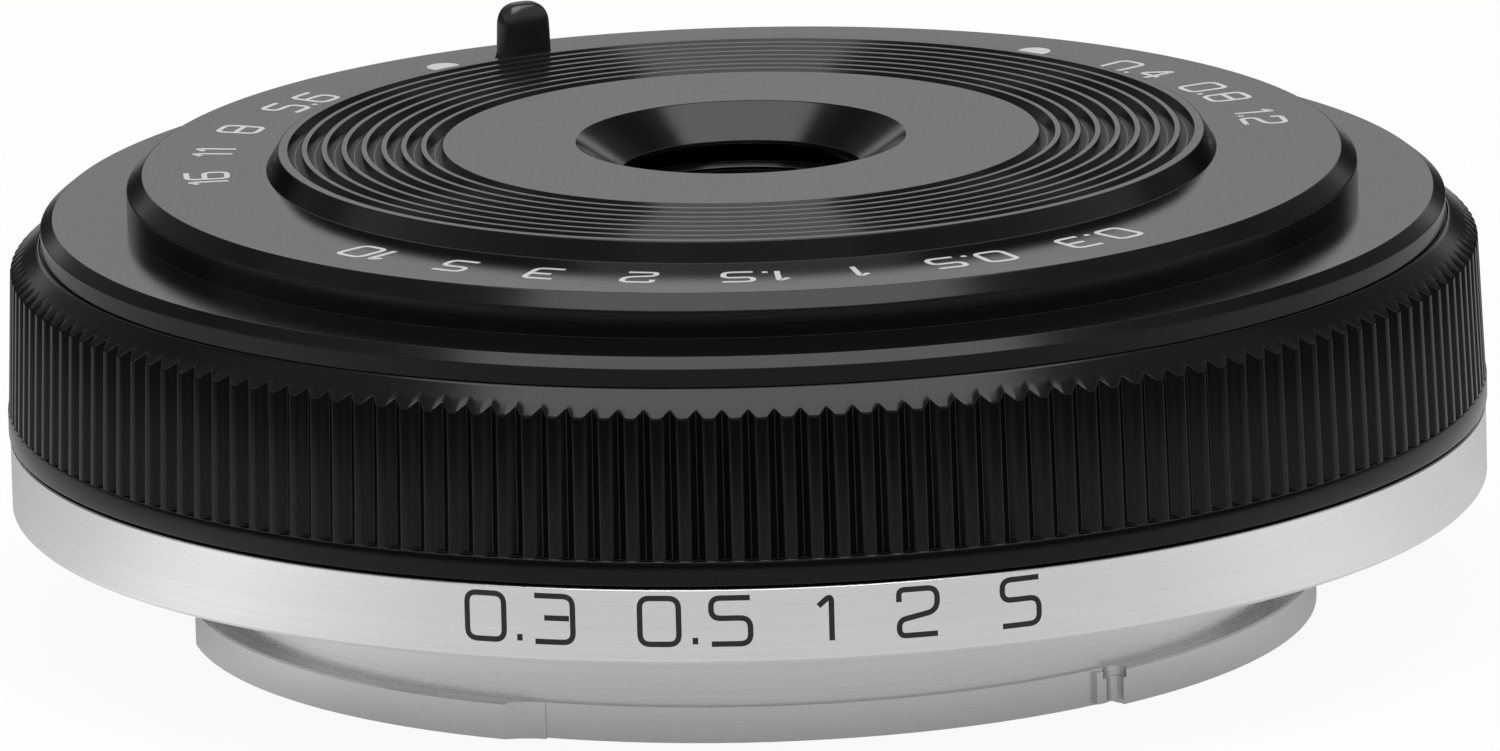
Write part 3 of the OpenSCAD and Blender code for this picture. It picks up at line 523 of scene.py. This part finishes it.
def build_front_barrel():
    under = PLATE_TOP - PLATE_THICK
    points = [
        (PLATE_IN, under),
        (PLATE_FOOT_IN, under),
        (PLATE_FOOT_IN, PLATE_LOW),
        (PLATE_R, PLATE_LOW),
        (PLATE_R, PLATE_TOP - PLATE_CHAMFER_DEEP),
        (PLATE_R - PLATE_CHAMFER_WIDE, PLATE_TOP),
        (PLATE_IN, PLATE_TOP),
    ]
    turned("front_plate", points, [0, 0, 0, 0, 0.05, 0.06, 0], "black_anodised", "front_barrel")


def build_front_disc():
    points = [
        (CONE_LOW_R, DISC_LOW),
        (DISC_R, DISC_LOW),
        (DISC_R, NAME_TOP),
        (FOOT_R, NAME_TOP),
        (FOOT_R - DISC_FOOT_SLOPE, DISC_TOP),
    ]
    radii = [0.03, 0, 0, 0, 0.08]
    for crest in range(CRESTS - 1, -1, -1):
        centre = CREST_FIRST_R + crest * CREST_PITCH
        outer = centre + CREST_HALF
        inner = centre - CREST_HALF
        next_out = outer - CREST_PITCH if crest > 0 else DISC_FLAT_R
        points += [(outer, DISC_TOP), (inner, DISC_TOP), ((inner + next_out) / 2, DISC_TOP - CREST_DEEP)]
        radii += [0.03, 0.03, 0.02]
    points += [(DISC_FLAT_R, DISC_TOP), (CONE_TOP_R, DISC_TOP), (CONE_LOW_R, DISC_LOW + CONE_WALL)]
    radii += [0.03, 0.12, 0.05]
    turned("crested_disc", points, radii, "black_anodised", "grooved_front_disc", sharp=40)


build_front_barrel()
build_front_disc()


def slot_cutter():
    """A solid the shape of the curved lever slot, with round ends."""
    middle = (SLOT_IN + SLOT_OUT) / 2
    half = (SLOT_OUT - SLOT_IN) / 2
    reach = math.radians(SLOT_HALF_ANGLE) - half / middle
    right = math.pi / 2 - reach
    left = math.pi / 2 + reach
    long_parts = 60
    end_parts = 12
    left_end = arc(half, left, left + math.pi, end_parts, on_circle(middle, left))
    right_end = arc(half, right + math.pi, right + TURN, end_parts, on_circle(middle, right))
    outline = arc(SLOT_OUT, right, left, long_parts)
    outline += left_end[1:-1]
    outline += arc(SLOT_IN, left, right, long_parts)
    outline += right_end[1:-1]
    verts = []
    faces = []
    add_prism(verts, faces, outline, DISC_LOW - 1.5, DISC_TOP)
    return make_mesh("slot", verts, faces)


def cut(target, cutter_mesh):
    """The target mesh with the cutter's shape taken out of it."""
    cutter = bpy.data.objects.new("cutter", cutter_mesh)
    bpy.context.scene.collection.objects.link(cutter)
    body = bpy.data.objects.new("cut_target", target)
    bpy.context.scene.collection.objects.link(body)
    change = body.modifiers.new("cut", "BOOLEAN")
    change.operation = "DIFFERENCE"
    change.solver = "EXACT"
    change.use_self = True
    change.object = cutter
    bpy.context.view_layer.update()
    graph = bpy.context.evaluated_depsgraph_get()
    result = bpy.data.meshes.new_from_object(body.evaluated_get(graph), depsgraph=graph)
    bpy.data.objects.remove(body)
    bpy.data.objects.remove(cutter)
    return result


def build_name_ring():
    under = NAME_TOP - NAME_THICK
    points = [
        (RISER_IN, RISER_LOW),
        (RISER_R, RISER_LOW),
        (RISER_R, NAME_TOP - RISER_SLOPE_DEEP),
        (NAME_OUT, NAME_TOP),
        (NAME_IN, NAME_TOP),
        (NAME_IN, under),
        (RISER_IN, under),
    ]
    ring = lathe(rounded(points, [0, 0, 0.12, 0.10, 0, 0, 0]))
    mesh = cut(ring, slot_cutter())
    finish_mesh("name_ring_body", mesh, "lens_body", "black_anodised", ["name_ring"])


build_name_ring()


def build_lever():
    """The domed pin that works the cover, with a flared foot."""
    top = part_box("cover_lever")[1].z / MM
    shoulder = top - LEVER_DOME
    half_r, half_t = LEVER_HALF
    sections = LEVER_FOOT + [(shoulder, half_r, half_t)]
    parts = 9
    for k in range(1, parts):
        turn = math.pi / 2 * k / parts
        shrink = math.cos(turn) ** LEVER_DOME_SQUARE
        sections.append((shoulder + LEVER_DOME * math.sin(turn), half_r * shrink, half_t * shrink))
    verts = []
    for z, half_x, half_y in sections:
        for x, y in arc(1, 0, TURN, ROUND_STEPS)[:-1]:
            wide = math.copysign(abs(x) ** LEVER_SQUARE, x)
            deep = math.copysign(abs(y) ** LEVER_SQUARE, y)
            verts.append((half_x * wide, half_y * deep, z))
    faces = [tuple(range(ROUND_STEPS - 1, -1, -1))]
    for row in range(len(sections) - 1):
        for k in range(ROUND_STEPS):
            a = row * ROUND_STEPS
            b = a + ROUND_STEPS
            j = (k + 1) % ROUND_STEPS
            faces.append((a + k, a + j, b + j, b + k))
    last = (len(sections) - 1) * ROUND_STEPS
    verts.append((0, 0, top))
    for k in range(ROUND_STEPS):
        faces.append((last + k, last + (k + 1) % ROUND_STEPS, len(verts) - 1))
    mesh = make_mesh("lever", verts, faces)
    mesh.transform(Matrix.Translation((LEVER_R, 0, 0)))
    mesh.transform(Matrix.Rotation(math.radians(LEVER_ANGLE), 4, "Z"))
    finish_mesh("cover_lever_pin", mesh, "cover_drive", "lever_black", ["cover_lever"], sharp=50)


build_lever()


def build_silver_ring():
    points = [
        (MOUNT_BORE, SILVER_LOW),
        (SILVER_R - SILVER_CHAMFER, SILVER_LOW),
        (SILVER_R, SILVER_LOW + SILVER_CHAMFER),
        (SILVER_R, SILVER_TOP - SILVER_TOP_CHAMFER),
        (SILVER_R - SILVER_TOP_CHAMFER, SILVER_TOP),
        (GRIP_BORE, SILVER_TOP),
        (GRIP_BORE, MOUNT_STEP_TOP),
        (MOUNT_OPENING, MOUNT_STEP_TOP),
        (MOUNT_OPENING, MOUNT_STEP_LOW),
        (MOUNT_BORE, MOUNT_STEP_LOW),
    ]
    radii = [0, 0.08, 0.08, 0.03, 0.03, 0, 0, 0, 0, 0]
    turned("silver_band", points, radii, "silver_metal", "silver_ring")


build_silver_ring()

# ---------------------------------------------------------------- painted dots and plain scale numbers

# Digits as single lines in a box one high and WIDE across; True marks a closed line.
# Bars stop NEXT short of the line they meet, so that no two lines overlap.
# Corners are rounded by BEND, but take no more than MOST_BENT of a line.
WIDE = 0.72
NEXT = 0.07
GAP = 0.30
BEND = 0.22
MOST_BENT = 0.45
GLYPHS = {
    "0": [(True, [(0, 0), (WIDE, 0), (WIDE, 1), (0, 1)])],
    "1": [(False, [(0, 0.76), (0.24, 1), (0.24, 0)])],
    "2": [(False, [(0, 0.74), (0, 1), (WIDE, 1), (WIDE, 0.50), (0, 0.34), (0, 0), (WIDE, 0)])],
    "3": [(False, [(0, 1), (WIDE, 1), (WIDE, 0), (0, 0)]), (False, [(0.18, 0.52), (WIDE - NEXT, 0.52)])],
    "4": [(False, [(0.52, 0), (0.52, 1), (0, 0.28), (0.52 - NEXT, 0.28)]),
          (False, [(0.52 + NEXT, 0.28), (WIDE, 0.28)])],
    "5": [(False, [(WIDE, 1), (0, 1), (0, 0.56), (WIDE, 0.56), (WIDE, 0), (0, 0)])],
    "6": [(False, [(WIDE, 1), (0, 1), (0, 0), (WIDE, 0), (WIDE, 0.56), (NEXT, 0.56)])],
    "8": [(True, [(0, 0), (WIDE, 0), (WIDE, 1), (0, 1)]), (False, [(NEXT, 0.52), (WIDE - NEXT, 0.52)])],
    ".": [(False, [(0, 0), (0, 0.14)])],
}


def softened(points, closed, radius, parts=6):
    """A path with its corners rounded."""
    path = []
    count = len(points)
    for i, corner in enumerate(points):
        here = Vector(corner)
        if not closed and i in (0, count - 1):
            path.append(here)
            continue
        back = Vector(points[i - 1]) - here
        ahead = Vector(points[(i + 1) % count]) - here
        reach = min(radius, back.length * MOST_BENT, ahead.length * MOST_BENT)
        path += corner_curve(here, back, ahead, reach, parts)
    return path


def stroke(path, closed, half):
    """Left and right edge points of a line of constant width along a path."""
    rows = []
    count = len(path)
    for i, here in enumerate(path):
        before = path[i - 1] if closed or i > 0 else here
        after = path[(i + 1) % count] if closed or i < count - 1 else here
        along = (after - before).normalized()
        across = Vector((-along.y, along.x)) * half
        rows.append((here + across, here - across))
    return rows


def step_width(mark):
    """How far one mark moves the pen, in glyph heights."""
    return GAP + max(x for _, points in GLYPHS[mark] for x, _ in points)


def number_width(text):
    """Width of a number, in glyph heights."""
    return sum(step_width(mark) for mark in text) - GAP


def add_number(verts, faces, text, start, height, wide, line, place):
    """Adds one number to a mesh; place maps (along, up, depth) in mm to a point."""
    along = start
    for mark in text:
        for closed, points in GLYPHS[mark]:
            sized = [(x * height * wide, y * height) for x, y in points]
            rows = stroke(softened(sized, closed, BEND * height), closed, line / 2)
            first = len(verts)
            for pair in rows:
                for edge in pair:
                    verts.extend(place(along + edge.x, edge.y, depth) for depth in (1, 0))
            count = len(rows)
            for k in range(count if closed else count - 1):
                a = first + 4 * k
                b = first + 4 * ((k + 1) % count)
                faces.extend([(a, b, b + 2, a + 2), (a + 1, a + 3, b + 3, b + 1),
                              (a, a + 1, b + 1, b), (a + 2, b + 2, b + 3, a + 3)])
            if not closed:
                last = first + 4 * (count - 1)
                faces.append((first, first + 2, first + 3, first + 1))
                faces.append((last, last + 1, last + 3, last + 2))
        along += step_width(mark) * height * wide


def add_scale(name, numbers, reach, height, wide, line, place, slot):
    """A row of numbers with equal gaps that fills reach mm."""
    widths = [number_width(text) * height * wide for text in numbers]
    gap = (reach - sum(widths)) / (len(numbers) - 1)
    verts = []
    faces = []
    start = 0
    for text, width in zip(numbers, widths):
        add_number(verts, faces, text, start, height, wide, line, place)
        start += width + gap
    finish_mesh(name, make_mesh(name, verts, faces), "lens_body", slot)


def ring_scale(name, numbers, first_angle, last_angle):
    """White numbers on the name ring, read clockwise with their tops outwards."""
    height = 1.65
    base = 20.9
    middle = base + height / 2

    def place(along, up, depth):
        turn = math.radians(first_angle) - along / middle
        radius = base + up
        return (*on_circle(radius, turn), NAME_TOP + PAINT_THICK * (2 * depth - 1))

    reach = math.radians(first_angle - last_angle) * middle
    add_scale(name, numbers, reach, height, wide=1.0, line=0.23, place=place, slot="paint_white")


def band_scale(numbers, half_angle):
    """Black numbers on the silver ring, read from the side."""
    height = 1.86
    base = 0.86

    def place(along, up, depth):
        turn = math.radians(-90 - half_angle) + along / SILVER_R
        radius = SILVER_R + PAINT_THICK * (2 * depth - 1)
        return (*on_circle(radius, turn), base + up)

    reach = math.radians(2 * half_angle) * SILVER_R
    add_scale("band_numbers", numbers, reach, height, wide=1.15, line=0.22, place=place,
              slot="paint_black")


def build_dots():
    """The two white dots beside the ends of the lever slot."""
    verts = []
    faces = []
    for side in (-1, 1):
        centre = on_circle(MARK_R, math.radians(90 + side * MARK_ANGLE))
        outline = arc(MARK_SIZE, 0, TURN, ROUND_STEPS, centre)[:-1]
        add_prism(verts, faces, outline, NAME_TOP - PAINT_THICK, NAME_TOP + PAINT_THICK)
    finish_mesh("white_dots", make_mesh("dots", verts, faces), "lens_body", "paint_white")


ring_scale("ring_numbers_near", ["0.3", "0.5", "1", "1.5", "2", "3", "5", "10"], -45, -136)
ring_scale("ring_numbers_left", ["16", "11", "8", "5.6"], 187, 142)
ring_scale("ring_numbers_right", ["0.4", "0.8", "1.2"], 45, 9)
band_scale(["0.3", "0.5", "1", "2", "5"], 22)
build_dots()

# ---------------------------------------------------------------- CAD nodes that keep their shape

for entry in frame["record"]["subparts"]:
    piece = frame["nodes"][entry["node"]]
    piece.data.materials.clear()
    piece.data.materials.append(LOOKS[entry["material_slot"]])

# ---------------------------------------------------------------- stage, light and camera

# Floor: how bright it looks to the camera, and how bright it is in reflections by place (metres).
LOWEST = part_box("bayonet_mount")[0].z
FLOOR_SIZE = 6.0
FLOOR_GAP = 0.00002
FLOOR_SEEN_GLOW = 0.93
FLOOR_GLOW = 0.64
FLOOR_SIDE_GLOW = 0.46
FLOOR_SIDE_TURN = 6
FLOOR_SIDE_POWER = 6
# The dimming close in is a painted contact shadow under the lens, seen only in reflections.
FLOOR_SHADOW_REACH = (0.012, 0.040)
FLOOR_SHADOW_SHARE = 0.35
FLOOR_FAR = (0.10, 0.32)
FLOOR_FAR_SHARE = 0.05
FLOOR_BACK = (-0.5, 0.1)
FLOOR_BACK_SHARE = 0.60

# Light: the wall rises and fades between two elevations (degrees), is full behind the lens and
# partly there at the sides and in front. Its edges are given by the y part of the direction.
HORIZON_LIGHT = 0.02
WALL_LIGHT = 0.94
WALL_RISE = (7.5, 12)
WALL_FADE = (28, 50)
SKY_SHARE = 0.45
BEHIND_EDGE = (0.85, 0.94)
CORNER_SHARE = 0.16
FRONT_EDGE = (0.60, 0.30)
FRONT_SHARE = 0.75
OVERHEAD_PLACE = (0, -0.08, 0.6)
OVERHEAD_WIDE = 0.50
OVERHEAD_DEEP = 0.62
OVERHEAD_POWER = 4.2

# Camera: VIEW_WIDTH is how many mm the picture spans at the target. The target sits a little off the
# middle of the picture, by shares of the picture's width.
VIEW_TARGET = (0, 0, 7.5)
VIEW_DISTANCE = 800
VIEW_ELEVATION = 13.19
VIEW_ROLL = -1.497
VIEW_WIDTH = 61.018
VIEW_SHIFT_X = 0.0032
VIEW_SHIFT_Y = -0.04747
SENSOR_WIDTH = 36


def ramp(tree, source, edge, first, last):
    """A smooth step between two levels; edge holds the values of source where it starts and ends."""
    made = add_node(tree, "ShaderNodeMapRange", interpolation_type="SMOOTHSTEP")
    made.inputs["From Min"].default_value = edge[0]
    made.inputs["From Max"].default_value = edge[1]
    made.inputs["To Min"].default_value = first
    made.inputs["To Max"].default_value = last
    tree.links.new(source, made.inputs["Value"])
    return made.outputs["Result"]


def elevation_ramp(tree, source, edge, first, last):
    """A ramp of the upward part of a direction, with its edge in degrees above the horizon."""
    heights = [math.sin(math.radians(angle)) for angle in edge]
    return ramp(tree, source, heights, first, last)


def combined(tree, operation, *values):
    """A running product or maximum of values."""
    result = values[0]
    for value in values[1:]:
        made = add_node(tree, "ShaderNodeMath", operation=operation)
        tree.links.new(result, made.inputs[0])
        tree.links.new(value, made.inputs[1])
        result = made.outputs[0]
    return result


def floor_glow(tree):
    """What shiny parts see of the floor: brightest to both sides, dim far away, and dim close in as a
    painted contact shadow.
    """
    place = add_node(tree, "ShaderNodeNewGeometry").outputs["Position"]
    flat = add_node(tree, "ShaderNodeVectorMath", operation="NORMALIZE")
    tree.links.new(place, flat.inputs[0])
    side = add_node(tree, "ShaderNodeVectorMath", operation="DOT_PRODUCT")
    turn = math.radians(FLOOR_SIDE_TURN)
    side.inputs[1].default_value = (math.cos(turn), math.sin(turn), 0)
    tree.links.new(flat.outputs[0], side.inputs[0])
    sharp = add_node(tree, "ShaderNodeMath", operation="POWER")
    sharp.inputs[1].default_value = FLOOR_SIDE_POWER
    tree.links.new(side.outputs["Value"], sharp.inputs[0])
    level = add_node(tree, "ShaderNodeMath", operation="MULTIPLY_ADD")
    level.inputs[1].default_value = FLOOR_SIDE_GLOW
    level.inputs[2].default_value = FLOOR_GLOW
    tree.links.new(sharp.outputs[0], level.inputs[0])
    away = add_node(tree, "ShaderNodeVectorMath", operation="LENGTH")
    tree.links.new(place, away.inputs[0])
    # Painted contact shadow: the floor glow is dimmed close to the lens.
    painted_contact_shadow = ramp(tree, away.outputs["Value"], FLOOR_SHADOW_REACH, FLOOR_SHADOW_SHARE, 1.0)
    far = ramp(tree, away.outputs["Value"], FLOOR_FAR, 1.0, FLOOR_FAR_SHARE)
    back = ramp(tree, separated(tree, flat.outputs[0])["Y"], FLOOR_BACK, 1.0, FLOOR_BACK_SHARE)
    return combined(tree, "MULTIPLY", level.outputs[0], painted_contact_shadow, far, back)


def build_floor():
    """A pale table, plain to the camera."""
    corners = [(-1, -1), (1, -1), (1, 1), (-1, 1)]
    verts = [(FLOOR_SIZE * x, FLOOR_SIZE * y, 0) for x, y in corners]
    mesh = make_mesh("floor", verts, [(0, 1, 2, 3)])
    floor = bpy.data.objects.new("floor", mesh)
    floor.location.z = LOWEST - FLOOR_GAP
    bpy.context.scene.collection.objects.link(floor)
    material, tree, shader = new_material("floor_paper")
    shader.inputs["Base Color"].default_value = (0.05, 0.05, 0.05, 1)
    shader.inputs["Roughness"].default_value = 0.9
    shader.inputs["Specular IOR Level"].default_value = 0.0
    path = add_node(tree, "ShaderNodeLightPath")
    seen = add_node(tree, "ShaderNodeMix", data_type="FLOAT")
    tree.links.new(path.outputs["Is Camera Ray"], seen.inputs["Factor"])
    tree.links.new(floor_glow(tree), seen.inputs["A"])
    seen.inputs["B"].default_value = FLOOR_SEEN_GLOW
    shader.inputs["Emission Color"].default_value = (1, 1, 1, 1)
    tree.links.new(seen.outputs["Result"], shader.inputs["Emission Strength"])
    mesh.materials.append(material)


def build_overhead():
    """A large soft box that shines straight down."""
    data = bpy.data.lights.new("overhead", "AREA")
    data.shape = "RECTANGLE"
    data.size = OVERHEAD_WIDE
    data.size_y = OVERHEAD_DEEP
    data.energy = OVERHEAD_POWER
    light = bpy.data.objects.new("overhead", data)
    light.location = OVERHEAD_PLACE
    bpy.context.scene.collection.objects.link(light)


def build_surroundings():
    """A soft wall of light that starts a little above the horizon."""
    world = bpy.data.worlds.new("studio")
    world.use_nodes = True
    tree = world.node_tree
    background = tree.nodes["Background"]
    ray = separated(tree, add_node(tree, "ShaderNodeTexCoord").outputs["Generated"])
    rise = elevation_ramp(tree, ray["Z"], WALL_RISE, HORIZON_LIGHT, WALL_LIGHT)
    fade = elevation_ramp(tree, ray["Z"], WALL_FADE, 1.0, SKY_SHARE)
    behind = ramp(tree, ray["Y"], BEHIND_EDGE, CORNER_SHARE, 1.0)
    in_front = ramp(tree, ray["Y"], FRONT_EDGE, 0.0, FRONT_SHARE)
    around = combined(tree, "MAXIMUM", behind, in_front)
    strength = combined(tree, "MULTIPLY", rise, fade, around)
    tree.links.new(strength, background.inputs["Strength"])
    background.inputs["Color"].default_value = (1, 1, 1, 1)
    bpy.context.scene.world = world


def build_camera():
    """The camera is placed by its elevation, roll and how much it takes in."""
    elevation = math.radians(VIEW_ELEVATION)
    roll = math.radians(VIEW_ROLL)
    forward = Vector((0, math.cos(elevation), -math.sin(elevation)))
    raised = Vector((0, math.sin(elevation), math.cos(elevation)))
    side = Vector((1, 0, 0))
    right = side * math.cos(roll) + raised * math.sin(roll)
    upward = raised * math.cos(roll) - side * math.sin(roll)
    data = bpy.data.cameras.new("camera")
    data.sensor_width = SENSOR_WIDTH
    data.lens = SENSOR_WIDTH * VIEW_DISTANCE / VIEW_WIDTH
    data.shift_x = VIEW_SHIFT_X
    data.shift_y = VIEW_SHIFT_Y
    data.clip_start = 0.1
    data.clip_end = 50
    camera = bpy.data.objects.new("camera", data)
    basis = Matrix((right, upward, -forward)).transposed().to_4x4()
    place = (Vector(VIEW_TARGET) - forward * VIEW_DISTANCE) * MM
    camera.matrix_world = Matrix.Translation(place) @ basis
    bpy.context.scene.collection.objects.link(camera)
    bpy.context.scene.camera = camera


build_floor()
build_surroundings()
build_overhead()
build_camera()
bpy.context.scene.view_settings.view_transform = "Standard"
